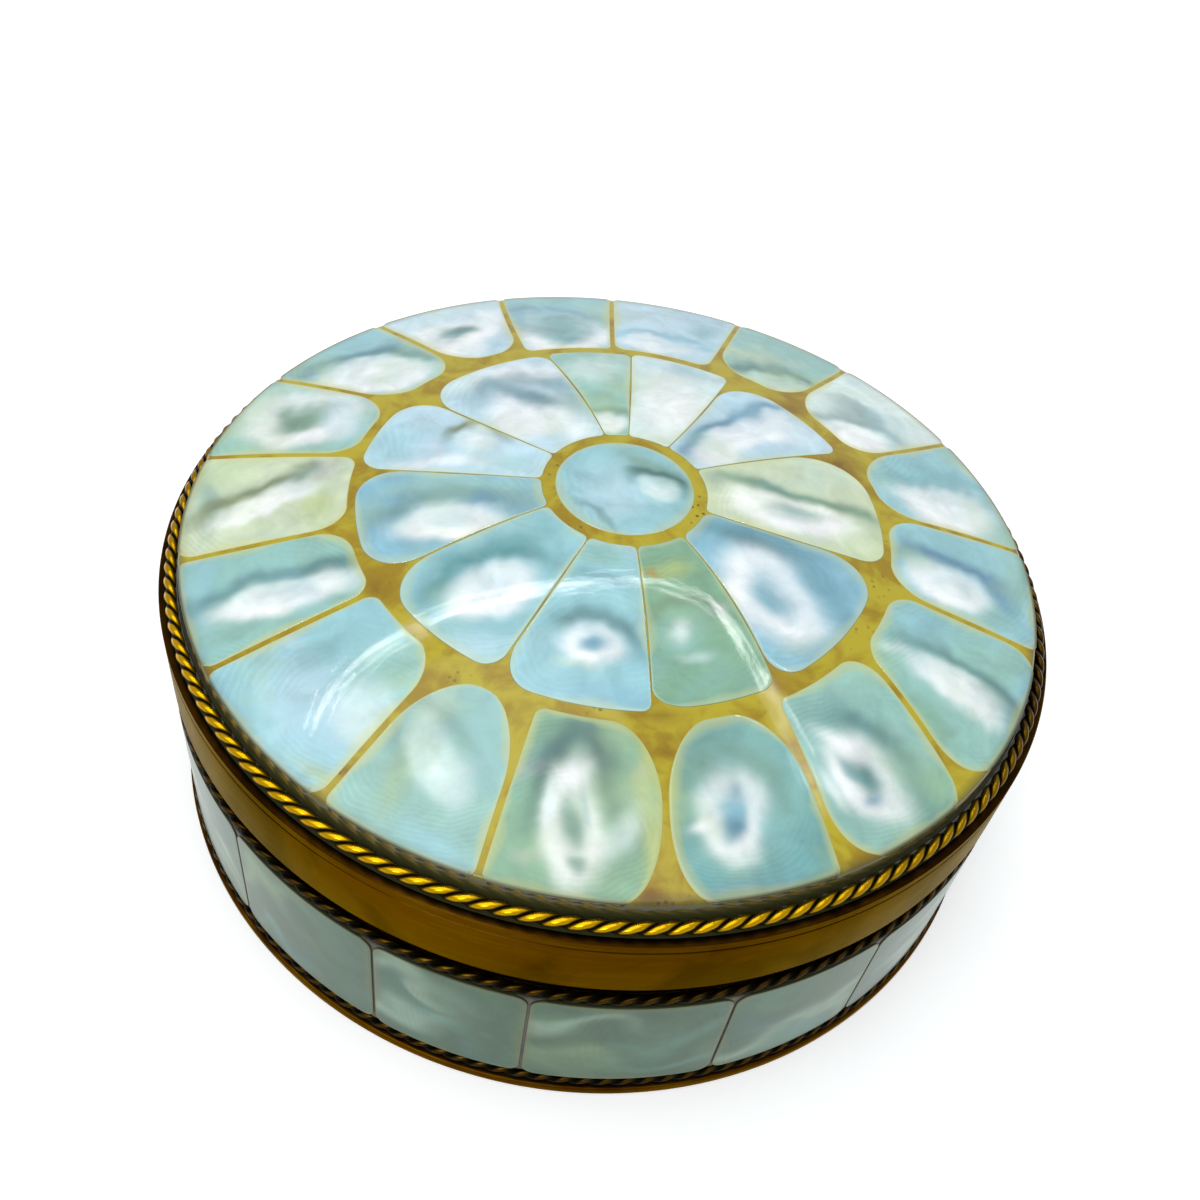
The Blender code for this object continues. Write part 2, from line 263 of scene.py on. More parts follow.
def surface(name, grid, loop=False, uv=None, values=None, paint=None, sharp=40):
    # grid holds (rows, columns, 3), or several such grids that become parts of one mesh. Columns
    # close round, loop closes the rows too, and a first or last row whose points all meet is a pole
    grid = np.asarray(grid, float)
    grid = grid.reshape((-1,) + grid.shape[-3:])
    parts, rows, columns = grid.shape[:3]
    row, column = np.meshgrid(np.arange(rows if loop else rows - 1), np.arange(columns), indexing="ij")
    after, beside = (row + 1) % rows, (column + 1) % columns
    corners = [row * columns + column, row * columns + beside,
               after * columns + beside, after * columns + column]
    quads = np.stack(corners, axis=-1).reshape(-1, 4)
    offsets = np.arange(parts)[:, None, None] * rows * columns
    quads = (quads[None] + offsets).reshape(-1, 4)
    points = grid.reshape(-1, 3)
    home = np.arange(len(points)).reshape(parts, rows, columns)
    spread = np.ptp(grid, axis=2).max(axis=(0, 2))
    for pole in (0, rows - 1):
        if not loop and spread[pole] < 1e-9:
            home[:, pole, :] = home[:, pole, :1]
    quads = home.reshape(-1)[quads]
    near = quads[:, 0] == quads[:, 1]
    far = quads[:, 2] == quads[:, 3]
    triangles = np.concatenate([quads[near][:, [0, 2, 3]], quads[far][:, [0, 1, 2]]])
    quads = quads[~(near | far)]
    used = np.unique(np.concatenate([quads.reshape(-1), triangles.reshape(-1)]))
    renumber = np.zeros(len(points), int)
    renumber[used] = np.arange(len(used))
    quads, triangles, points = renumber[quads], renumber[triangles], points[used]
    halves = np.concatenate([quads[:, [0, 1, 2]], quads[:, [0, 2, 3]], triangles])
    a, b, c = (points[halves[:, i]] for i in range(3))
    if np.einsum("ij,ij->i", a, np.cross(b, c)).sum() < 0:  # the volume: faces have to point out
        quads, triangles = quads[:, ::-1], triangles[:, ::-1]
    mesh = bpy.data.meshes.new(name)
    mesh.from_pydata(points.tolist(), [], quads.tolist() + triangles.tolist())
    mesh.shade_smooth()
    mesh.set_sharp_from_angle(angle=math.radians(sharp))
    writeLayers(mesh, used, uv, values, paint)
    return mesh


def addPiece(name, mesh, material, nodes):
    item = bpy.data.objects.new(name, mesh)
    mesh.materials.append(material)
    bpy.context.scene.collection.objects.link(item)
    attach(item, "root")
    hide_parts(*nodes)


def turnedGrid(profile, steps=320):
    # A profile of (radius, height) in mm, carried once round Z, in metres
    profile = np.array(profile, float) * mm
    angle = np.linspace(0, turn, steps, endpoint=False)
    r, z = profile[:, :1], profile[:, 1:]
    flat = np.broadcast_to(z, (len(profile), steps))
    return np.stack([r * np.cos(angle), r * np.sin(angle), flat], axis=-1)


def softCorners(profile, radius, steps=4):
    # Each corner of a turned section becomes a small arc, drawn as a quadratic curve
    points = np.array(profile, float)
    before, after = np.roll(points, 1, axis=0), np.roll(points, -1, axis=0)
    made = []
    for here, back, on in zip(points, before, after):
        if here[0] < 1e-9:  # on the axis
            made.append(here[None])
            continue
        toBack, toOn = back - here, on - here
        cut = min(radius, np.linalg.norm(toBack) * 0.45, np.linalg.norm(toOn) * 0.45)
        start = here + toBack / np.linalg.norm(toBack) * cut
        end = here + toOn / np.linalg.norm(toOn) * cut
        t = np.linspace(0, 1, steps + 1)[:, None]
        made.append((1 - t) ** 2 * start + 2 * t * (1 - t) * here + t ** 2 * end)
    return np.concatenate(made)


def ripple(points, size, seed, waves=7):
    # Smooth noise from about -1 to 1: a mean of sine waves in random directions, size in mm
    draw = np.random.default_rng(seed)
    total = np.zeros(points.shape[:-1])
    for i in range(waves):
        way = draw.normal(size=3)
        way = way / np.linalg.norm(way) * turn / (size * mm) * draw.uniform(0.5, 1.6)
        total += np.sin(points @ way + draw.uniform(0, turn))
    return total / math.sqrt(waves)


# Mother-of-pearl
paints = {
    "white": tone(252, 254, 254),
    "paleWhite": tone(220, 238, 234),
    "skyWhite": tone(192, 222, 236),
    "sky": tone(152, 202, 210),
    "skyBlue": tone(138, 189, 208),
    "steelBlue": tone(102, 148, 172),
    "steel": tone(82, 130, 142),
    "greyBlue": tone(126, 166, 180),
    "teal": tone(96, 154, 158),
    "greyTeal": tone(94, 136, 136),
    "deepTeal": tone(66, 110, 104),
    "greyGreen": tone(112, 148, 126),
    "green": tone(128, 172, 142),
    "mint": tone(148, 194, 184),
    "cream": tone(208, 222, 190),
    "yellowGreen": tone(176, 190, 118),
    "olive": tone(112, 124, 84),
    "amber": tone(180, 148, 54),
}

pearl = {
    "thick": 1.6,
    "edgeRound": 0.07,
    "rings": 26,              # of the mesh, from a tile's middle to its edge
    "columns": 144,
    "squash": 1.5,            # the picture's height against its width on the lid
    "pixel": 0.09,            # mm to a photo pixel on the lid
    # the tiles grow darker towards the lid's rim over these radii, in mm
    "rimDarkRadii": (42.8, 43.6, 43.85),
    "rimDarkShare": (0.0, 0.25, 1.0),
    "wispSize": (12.0, 4.5, 2.0),   # mm, large to small wisps that bend the clouds' edges
    "wispReach": (4.2, 1.7, 0.8),   # photo pixels
    "wispSeeds": (3, 7, 13),
    "roughness": 0.28,
    "coatRoughness": 0.04,
    "greenTinge": tone(176, 206, 150),
    "blueTinge": tone(146, 198, 216),
    "pinkTinge": tone(222, 196, 210),
}

# Where an eye's core ends, where its bright ring and its dark arc lie and how broad they are, as
# shares of the eye's size. The ring is a painted highlight and the arc painted shade, the nacre's sheen
sheenEyeShape = {"coreReach": 0.44, "ringAt": 0.68, "ringReach": 0.44, "arcAt": 1.5, "arcReach": 0.42}

# Joints between tiles, in degrees from +X: at the outer and at the inner end on the lid
outerJoints = (
    (200, 200.5), (219, 219.5), (242, 241.5), (261.5, 260.5), (281.5, 283.5), (302, 306),
    (321.5, 329.5), (349.5, 348.5), (369, 371.5), (393.5, 390.5), (415.5, 413.5), (435.5, 434.5),
    (457.5, 458.5), (476.5, 480.5), (498.5, 497), (519.5, 517.5), (539.5, 538),
)
innerJoints = (
    (217.5, 212.5), (251, 252), (282, 284), (308, 318), (354, 349.5), (392.5, 394),
    (428.5, 423.5), (454, 453.5), (476, 470.5), (513, 516.5), (542.5, 544.5),
)
sideJoints = (
    228.5, 250.5, 269, 292, 311.5, 332.5, 353.5, 375.5, 396.5, 418, 439, 461,
    482, 503.5, 525, 546, 567.5,
)

# Each lid tile's ground colour, its eye and its marks. An eye is a core in a bright ring, with a dark
# arc above: photo x and y, half length, half width, turn clockwise, core and its strength, ring and
# its strength, arc and its strength. A mark is a soft ellipse: paint, photo x and y, half length,
# half width, turn clockwise, strength. The first marks lie under the eye, the second ones over it
# The eyes and the white marks paint the nacre's sheen over its own colours: bright rings, white cores and
# white clouds are painted highlights, and the dark arcs are painted shade
centerLook = (
    "sky", (655, 487, 18, 8, 10, "white", 0.6, "paleWhite", 0.7, "deepTeal", 0.9),
    [("skyWhite", 612, 498, 36, 26, 0, 0.7), ("greyGreen", 655, 470, 34, 10, 25, 0.6),
     ("deepTeal", 602, 520, 34, 4, 32, 0.5)])
innerLooks = (
    ("sky", (489, 590, 45, 22, -18, "white", 0.9, "white", 0.95, "teal", 1.0),
     [("teal", 500, 545, 60, 12, -20, 0.7), ("skyWhite", 470, 645, 36, 12, 0, 0.6)]),
    ("sky", (593, 645, 34, 21, 14, "steelBlue", 0.9, "white", 1.0, "greyTeal", 0.9),
     [("mint", 605, 552, 30, 12, 0, 0.8), ("steel", 605, 578, 34, 8, 10, 0.5),
      ("cream", 583, 670, 26, 5, 10, 0.5), ("skyBlue", 612, 698, 60, 10, 6, 0.7)]),
    ("green", (684, 630, 26, 18, 0, "paleWhite", 0.9, "mint", 0.6, "greyGreen", 0.9),
     [("paleWhite", 692, 655, 18, 5, 0, 0.5), ("yellowGreen", 668, 566, 22, 10, 0, 0.7),
      ("amber", 648, 568, 8, 6, 0, 0.7)]),
    ("skyBlue", (772, 597, 56, 34, 42, "greyBlue", 0.6, "white", 1.0, "steel", 0.55),
     [("steel", 752, 545, 52, 11, 24, 0.85), ("mint", 800, 645, 30, 12, -10, 0.6)]),
    ("cream", (795, 513, 62, 15, 17, "greyBlue", 0.6, "white", 0.95, "greyGreen", 0.9),
     [("greyGreen", 772, 487, 34, 10, 20, 0.8)]),
    ("skyWhite", (742, 440, 48, 14, -20, "white", 0.8, "white", 0.9, "steelBlue", 0.9),
     [("steelBlue", 745, 424, 30, 9, 0, 0.5), ("white", 790, 420, 22, 24, 20, 0.5)]),
    ("paleWhite", (672, 405, 30, 26, 0, "white", 0.9, "white", 0.7, "skyWhite", 0.3),
     [("skyBlue", 685, 371, 42, 5, 8, 0.6), ("yellowGreen", 668, 438, 20, 5, 0, 0.4)]),
    ("mint", (602, 424, 22, 9, 0, "white", 0.9, "white", 0.9, "greyGreen", 0.9),
     [("paleWhite", 595, 372, 34, 12, 0, 0.7), ("greyGreen", 604, 398, 26, 5, 5, 0.4)]),
    ("skyWhite", (528, 415, 40, 22, 0, "white", 0.9, "white", 0.9, "steel", 0.6),
     [("white", 520, 375, 60, 12, -6, 0.8), ("white", 575, 430, 18, 14, 0, 0.6)],
     [("steel", 532, 399, 40, 9, 12, 0.9)]),
    ("skyWhite", (476, 441, 21, 10, -4, "white", 0.9, "paleWhite", 0.9, "olive", 0.9),
     [("sky", 388, 448, 22, 28, 20, 0.7), ("white", 440, 462, 50, 6, -6, 0.6),
      ("mint", 510, 462, 34, 8, 8, 0.5)]),
    ("skyBlue", (448, 523, 52, 18, -6, "white", 0.6, "white", 1.0, "steelBlue", 1.0),
     [("steelBlue", 455, 494, 64, 7, 0, 0.7), ("steelBlue", 479, 519, 8, 5, 30, 0.7)]),
)
outerLooks = (
    ("mint", (285, 592, 72, 16, -16, "white", 0.9, "white", 0.95, "greyTeal", 0.9),
     [("greyTeal", 305, 566, 44, 8, -8, 0.6), ("sky", 205, 590, 10, 30, 0, 0.6)]),
    ("sky", (366, 712, 26, 34, 30, "paleWhite", 0.7, "paleWhite", 0.6, "mint", 0.5),
     [("skyWhite", 310, 700, 60, 46, 30, 0.7), ("greyTeal", 322, 650, 34, 14, -25, 0.4),
      ("mint", 400, 690, 26, 60, 20, 0.5), ("yellowGreen", 322, 776, 34, 9, 30, 0.6)]),
    ("mint", (437, 762, 24, 46, -22, "paleWhite", 0.9, "paleWhite", 0.7, "greyTeal", 0.5),
     [("yellowGreen", 400, 775, 14, 50, 20, 0.4), ("sky", 430, 850, 40, 16, 32, 0.8),
      ("cream", 432, 702, 24, 20, -10, 0.6)]),
    ("green", (573, 825, 29, 57, 4, "greyTeal", 0.95, "white", 0.95, "deepTeal", 1.0),
     [("yellowGreen", 650, 810, 12, 70, 4, 0.9), ("greyGreen", 575, 728, 34, 8, 0, 0.7),
      ("white", 556, 842, 13, 40, -4, 0.8), ("paleWhite", 618, 836, 13, 42, 36, 0.8)],
     [("greyTeal", 572, 866, 11, 9, 30, 0.9), ("white", 577, 777, 19, 11, 0, 0.8),
      ("paleWhite", 552, 806, 6, 24, 4, 0.8), ("greyBlue", 590, 806, 5, 22, 0, 0.5)]),
    ("teal", (733, 817, 30, 45, -14, "skyBlue", 0.9, "white", 0.9, "greyGreen", 0.45),
     [("mint", 740, 800, 76, 90, 0, 0.8), ("greyGreen", 690, 765, 20, 40, 20, 0.35),
      ("greyBlue", 748, 893, 46, 8, -10, 0.6), ("yellowGreen", 676, 800, 8, 60, 0, 0.5)],
     [("steelBlue", 737, 830, 13, 11, 20, 0.9), ("steelBlue", 730, 792, 7, 10, 0, 0.5),
      ("white", 704, 823, 14, 6, -14, 0.8), ("paleWhite", 748, 858, 16, 8, -20, 0.6)]),
    ("mint", (866, 780, 52, 26, 42, "greyTeal", 0.9, "white", 0.95, "greyTeal", 0.7),
     [("teal", 850, 722, 40, 16, 40, 0.3), ("green", 940, 790, 18, 34, 30, 0.8),
      ("white", 845, 752, 34, 8, 36, 0.8)],
     [("teal", 848, 772, 20, 6, 46, 0.6), ("steelBlue", 876, 802, 12, 7, 10, 0.7),
      ("white", 830, 790, 30, 5, 50, 0.6)]),
    ("mint", (958, 690, 56, 14, 38, "white", 0.9, "white", 0.8, "greyTeal", 0.8),
     [("skyBlue", 925, 625, 40, 14, 25, 0.6), ("paleWhite", 895, 642, 16, 7, 5, 0.7),
      ("green", 925, 718, 44, 12, 46, 0.6), ("skyBlue", 1018, 700, 12, 30, 20, 0.7)]),
    ("sky", (945, 587, 42, 18, 24, "white", 0.8, "white", 0.9, "steelBlue", 1.0),
     [("mint", 992, 616, 34, 14, 32, 0.8), ("teal", 1020, 590, 10, 30, 5, 0.6)]),
    ("sky", (948, 510, 52, 17, 22, "white", 0.9, "white", 0.95, "teal", 0.4),
     [("white", 985, 480, 30, 8, 46, 0.6), ("teal", 925, 484, 30, 8, 12, 0.2)]),
    ("paleWhite", (848, 434, 34, 12, 18, "white", 0.9, "white", 0.9, "greyTeal", 0.6),
     [("greyTeal", 856, 412, 30, 5, 26, 0.5), ("teal", 832, 422, 16, 4, 26, 0.4)]),
    ("mint", (768, 386, 36, 10, 14, "paleWhite", 0.8, "paleWhite", 0.8, "greyTeal", 1.0),
     [("cream", 745, 352, 34, 7, 16, 0.6), ("greyTeal", 772, 368, 32, 6, 12, 0.5)]),
    ("skyWhite", (655, 346, 36, 8, 4, "white", 0.9, "white", 0.8, "skyBlue", 0.8),
     [("teal", 706, 328, 22, 8, 14, 0.6)]),
    ("sky", (560, 336, 46, 16, 0, "teal", 0.6, "white", 1.0, "steelBlue", 0.5),
     [("white", 562, 349, 36, 4, 0, 0.8)],
     [("teal", 560, 325, 34, 8, 0, 0.85)]),
    ("skyWhite", (459, 336, 44, 17, -12, "greyTeal", 0.95, "white", 1.0, "paleWhite", 0.4),
     [("greyTeal", 460, 332, 22, 5, -10, 0.7)]),
    ("sky", (372, 374, 54, 12, -8, "white", 0.9, "white", 0.9, "steel", 0.7),
     [("steel", 380, 353, 46, 6, -8, 0.5)]),
    ("mint", (303, 420, 62, 24, -10, "greyGreen", 0.95, "white", 1.0, "paleWhite", 0.4),
     [("greyGreen", 303, 418, 46, 8, -10, 0.7)]),
    ("cream", (262, 500, 52, 12, -20, "white", 0.8, "white", 0.9, "olive", 0.8),
     [("greyGreen", 262, 484, 34, 9, -12, 0.6), ("yellowGreen", 320, 500, 20, 20, 0, 0.6),
      ("white", 325, 468, 13, 7, 0, 0.8), ("teal", 205, 500, 14, 30, 0, 0.5)]),
)


def slabOutline(corners, wideStart, wideEnd, long, count=pearl["columns"]):
    # Slab from -1 to 1 across and 0 to 1 along, its points shared out evenly by length. Each corner
    # is a quarter ellipse, given as its reach in mm across and along, or as one number for both.
    # corners: at the start on the first and the second joint, then at the end on the first and second
    sweep = np.linspace(0, math.pi / 2, 20)
    startFirst, startSecond, endFirst, endSecond = corners
    path = []
    for u, v, radius, wide, quarter in (
        (1, 0, startSecond, wideStart, -0.25), (1, 1, endSecond, wideEnd, 0.0),
        (-1, 1, endFirst, wideEnd, 0.25), (-1, 0, startFirst, wideStart, 0.5),
    ):
        reach = radius if isinstance(radius, tuple) else (radius, radius)
        across, along = min(reach[0] / wide, 0.95), reach[1] / long
        bend = sweep + quarter * turn
        middle = u * (1 - across), v + (1 - 2 * v) * along
        path.append(np.stack([middle[0] + across * np.cos(bend), middle[1] + along * np.sin(bend)], axis=-1))
    path = np.concatenate(path + [path[0][:1]])
    wide = wideStart + (wideEnd - wideStart) * path[:, 1]
    steps = np.hypot(np.diff(path[:, 0] * wide), np.diff(path[:, 1]) * long)
    run = np.concatenate([[0], np.cumsum(steps)])
    even = np.linspace(0, run[-1], count, endpoint=False)
    return np.stack([np.interp(even, run, path[:, 0]), np.interp(even, run, path[:, 1])], axis=-1)


def tileGrid(outline, place, thick, edgeRound, rings=pearl["rings"]):
    # Rows go from the middle of the face to its rounded edge, down the side and back under to the
    # middle. Each row is the outline drawn in towards its middle by a length, and lowered by a depth
    middle = np.array([0.0, 0.5])
    flatEdge = place(outline, 0.0)
    flatMiddle = place(middle[None], 0.0)
    radius = np.linalg.norm(flatEdge - flatMiddle, axis=-1) / mm  # for each column
    rows, depths = [], []
    for share in np.linspace(0, 1, rings) ** 0.9:
        inset = radius - share * (radius - edgeRound)
        rows.append(inset)
        depths.append(np.zeros_like(radius))
    for bend in np.radians([22.5, 45, 67.5, 90]):
        rows.append(np.full_like(radius, edgeRound * (1 - math.sin(bend))))
        depths.append(np.full_like(radius, edgeRound * (1 - math.cos(bend))))
    rows.append(np.zeros_like(radius))
    depths.append(np.full_like(radius, thick))
    rows.append(radius)
    depths.append(np.full_like(radius, thick))
    inset, depth = np.array(rows), np.array(depths)
    share = 1 - inset / radius
    uv = middle + (outline - middle) * share[..., None]
    return place(uv, depth), uv, inset


def soften(colour, paint, mask):
    return colour + (paints[paint] - colour) * mask[..., None]


def ellipseReach(x, y, cx, cy, long, wide, spin):
    # Shares along and across an ellipse turned clockwise, and how far out each point is
    way = math.radians(spin)
    u = ((x - cx) * math.cos(way) + (y - cy) * math.sin(way)) / long
    v = ((y - cy) * math.cos(way) - (x - cx) * math.sin(way)) / wide
    return u, v, np.hypot(u, v)


def paintTile(points, ground, eye, under, over=()):
    # The ground colour, marks as soft ellipses, the eye, and more marks. Wisps bend all their edges.
    # Each part of the eye is a soft band, the exponential of minus a power of the distance from it,
    # and the dark arc fades towards the lower side. Also gives how far each point is from the eye
    x, y = photoPlace(points)
    for size, reach, seed in zip(pearl["wispSize"], pearl["wispReach"], pearl["wispSeeds"]):
        x = x + reach * ripple(points, size, seed)
        y = y + reach * ripple(points, size, seed + 1)
    colour = np.broadcast_to(paints[ground], points.shape)

    def addMarks(colour, marks):
        for paint, cx, cy, long, wide, spin, strength in marks:
            reach = ellipseReach(x, y, cx, cy, long, wide, spin)[2]
            colour = soften(colour, paint, strength * np.exp(-(reach ** 2.6)))
        return colour

    colour = addMarks(colour, under)
    u, v, reach = ellipseReach(x, y, *eye[:5])
    core, coreStrength, ring, ringStrength, arc, arcStrength = eye[5:]
    # Painted sheen: the bright ring, brightest on its lower side, and a white core are painted highlights,
    # and the dark arc above is painted shade
    above = np.clip(0.35 - 0.9 * v / np.maximum(reach, 0.01), 0, 1)
    fromArc = (reach - sheenEyeShape["arcAt"]) / sheenEyeShape["arcReach"]
    fromRing = np.abs(reach - sheenEyeShape["ringAt"]) / sheenEyeShape["ringReach"]
    colour = soften(colour, arc, arcStrength * above * np.exp(-(fromArc ** 2)))
    bright = ringStrength * (0.82 + 0.18 * v / np.maximum(reach, 0.01))
    colour = soften(colour, ring, bright * np.exp(-(fromRing ** 2.4)))
    colour = soften(colour, core, coreStrength * np.exp(-((reach / sheenEyeShape["coreReach"]) ** 2.4)))
    colour = addMarks(colour, over)
    away = np.hypot(x - eye[0], (y - eye[1]) * pearl["squash"]) * pearl["pixel"]
    return colour, away


def pearlFinish(name, look):
    # Painted ground with cloudy mottling, growth lines round the tile's eye, green, blue and pink
    # tinges, a yellow halo and a thin seam at its edge, darker towards the lid's rim, and a polished coat
    made = Finish(name)
    gain, tinge, growth = look["gain"], look["tinge"], look["growth"]
    place = made.place()
    base = made.colour("paint")
    cloud = made.noise(place, 230, 5, 0.58, 0.6)
    grain = made.noise(made.mapped(place, (1.0, 1.7, 1.0), (0, 0, 0.5)), 1400, 3, 0.6)
    eye = made.value("eye")
    bent = made.noise(place, 150, 3, 0.5, 0.4) * 9 + made.noise(place, 600, 2, 0.5) * 2
    lines = (eye * 9 + bent).sine() * 0.6 + (eye * 23 + bent * 2).sine() * 0.3
    lines = lines * eye.step(growth, growth + 5) * made.noise(place, 120, 2, 0.5).step(0.42, 0.62)
    # gain is 1 on the lid; on the side tiles it is lower, as painted shade
    light = (cloud * 0.8 + grain * 0.08 + lines * 0.07 + 0.54) * gain
    red, green, blue = (light * share for share in look["tint"])
    base = made.blend(base, made.node("CombineColor", None, {0: red, 1: green, 2: blue}), 1.0, "MULTIPLY")
    hue = made.noise(place, 85, 3, 0.5, 0.5)
    base = made.blend(base, pearl["greenTinge"], hue.step(0.50, 0.72) * tinge)
    base = made.blend(base, pearl["blueTinge"], hue.step(0.48, 0.30) * tinge * 0.8)
    rosy = made.noise(place, 190, 2, 0.5).step(0.62, 0.8)
    base = made.blend(base, pearl["pinkTinge"], rosy * tinge * 0.6)
    edge = made.value("edge")
    wide = made.noise(place, 160, 2, 0.5).step(0.25, 0.75) * 1.3 + 0.2
    base = made.blend(base, look["halo"], (1 - edge / wide).clamped() * look["haloShare"])
    base = made.blend(base, look["seam"], edge.step(0.12, 0.02) * 0.8)
    base = made.blend(base, resin["rimDarkTone"], made.value("rimDark"))
    bump = made.noise(place, 260, 3, 0.5) + grain * 0.18
    return made.finish(
        Base_Color=base, Roughness=pearl["roughness"], Coat_Weight=look["coat"],
        Coat_Roughness=pearl["coatRoughness"], IOR=1.5, Specular_IOR_Level=0.15,
        Normal=made.bump(bump, 0.0001, 0.3),
    )


# Resin, between the lid's tiles and behind the side ones
resin = {
    "below": 0.03,            # mm under the tiles' face
    "rimRadii": (42.8, 43.7, 43.9),
    "rimShare": (0.0, 0.6, 1.0),
    "roughness": 0.3,
    "coat": 0.7,
    "coatRoughness": 0.06,
    "pitsPerMetre": 1700.0,
    "gold": tone(182, 166, 36),
    "deepGold": tone(156, 128, 14),
    "brown": tone(112, 66, 0),
    "pit": tone(44, 38, 14),
    "rimDarkTone": tone(60, 60, 34),
    "dark": tone(34, 30, 18),
    "dust": tone(78, 70, 40),
    "darkRoughness": 0.45,
    # patches burnt brown and swarms of pits, as photo x and y, half length, half width, turn, strength
    "burns": ((655, 893, 24, 18, 0, 1.0), (842, 468, 18, 10, 25, 1.0), (377, 592, 12, 12, 0, 0.7),
              (352, 495, 9, 22, 0, 0.6), (655, 715, 30, 8, 5, 0.7), (350, 775, 10, 12, -50, 0.7),
              (1005, 660, 26, 7, 25, 0.7), (788, 405, 20, 8, 30, 0.5), (484, 880, 12, 22, 0, 0.6)),
    "swarms": ((560, 480, 12, 18, 0, 1.0), (575, 527, 16, 6, 35, 0.9), (697, 505, 7, 10, 0, 1.0),
               (214, 690, 18, 12, 0, 1.0), (880, 585, 10, 10, 0, 0.8), (655, 905, 26, 8, 0, 0.8),
               (375, 405, 12, 6, 0, 0.7)),
}

# Brightness and tint of the paint, strength of the tinges, how far from the eye the growth lines
# start in mm, and the coat, halo and seam
pearlLooks = {
    "inner": {
        "gain": 1.0, "tint": (1, 1, 1), "tinge": 0.34, "growth": 3.0, "coat": 1.0,
        "halo": tone(206, 214, 158), "haloShare": 0.5, "seam": tone(84, 96, 50),
    },
    "outer": {
        "gain": 1.0, "tint": (1, 1, 1), "tinge": 0.38, "growth": 3.5, "coat": 1.0,
        "halo": tone(206, 206, 124), "haloShare": 0.65, "seam": tone(176, 164, 84),
    },
    "center": {
        "gain": 1.0, "tint": (1, 1, 1), "tinge": 0.2, "growth": 3.5, "coat": 1.0,
        "halo": tone(196, 200, 120), "haloShare": 0.5, "seam": tone(176, 164, 84),
    },
    # The side tiles' low gain darkens their paint as painted shade, for the upright sides that get less light
    # than the lid; their greener tint is their own colour
    "side": {
        "gain": 0.28, "tint": (0.72, 1.05, 0.76), "tinge": 0.05, "growth": 2.0, "coat": 0.25,
        "halo": tone(92, 98, 50), "haloShare": 0.55, "seam": tone(40, 32, 10),
    },
}
pearlFinishes = {name: pearlFinish(name + "_pearl", look) for name, look in pearlLooks.items()}


def wedgePlace(jointA, jointB, start, end, joint):
    # A tile between two slanting joints on the dome, from its (across, along) shares
    def place(uv, depth):
        r = start + (end - start) * uv[..., 1]
        a = np.radians(jointA[1] + (jointA[0] - jointA[1]) * uv[..., 1])
        b = np.radians(jointB[1] + (jointB[0] - jointB[1]) * uv[..., 1])
        half = (b - a) / 2 - joint / 2 / r
        angle = (a + b) / 2 + uv[..., 0] * half
        return np.stack([r * np.cos(angle), r * np.sin(angle), domeHeight(r) - depth], axis=-1) * mm
    return place


def discPlace(radius):
    def place(uv, depth):
        x, y = radius * uv[..., 0], radius * (2 * uv[..., 1] - 1)
        return np.stack([x, y, domeHeight(np.hypot(x, y)) - depth], axis=-1) * mm
    return place


def lidTile(node, ring, outline, place, look):
    grid, uv, inset = tileGrid(outline, place, pearl["thick"], pearl["edgeRound"])
    colour, reach = paintTile(grid, *look)
    radius = np.hypot(grid[..., 0], grid[..., 1]) / mm
    rimDark = np.interp(radius, pearl["rimDarkRadii"], pearl["rimDarkShare"])
    values = {"edge": inset, "eye": reach, "rimDark": rimDark}
    mesh = surface(node + "_pearl", grid, uv=uv, values=values, paint=colour)
    addPiece(node + "_pearl", mesh, pearlFinishes[ring], [node])


# Each tile's inner and outer radius and its corner radii, in mm: at the inner end on the first and
# the second joint, at the outer end on the first and the second joint
innerShapes = (
    (8.4, 26.4, (0.6, 0.6, (4.6, 5.0), 2.2)), (8.4, 27.0, (0.6, 0.6, (3.6, 4.4), 0.8)),
    (8.4, 26.7, (0.6, 0.6, (3.6, 2.0), 1.2)), (8.4, 26.5, (0.8, 1.2, (3.6, 3.4), (6.0, 6.4))),
    (8.4, 27.2, (0.6, 0.6, 2.4, (7.0, 7.0))), (8.4, 26.9, (0.5, 0.5, 1.4, (6.4, 5.6))),
    (8.4, 27.0, (0.4, 0.4, 1.0, 1.0)), (8.4, 26.7, (0.4, 0.4, 0.9, 1.2)),
    (8.4, 26.4, (0.5, 0.5, 1.8, (5.0, 4.6))), (8.4, 27.2, (0.6, 0.6, (4.8, 4.6), 2.4)),
    (8.4, 26.9, (0.6, 0.6, (4.6, 4.6), (5.2, 5.2))),
)
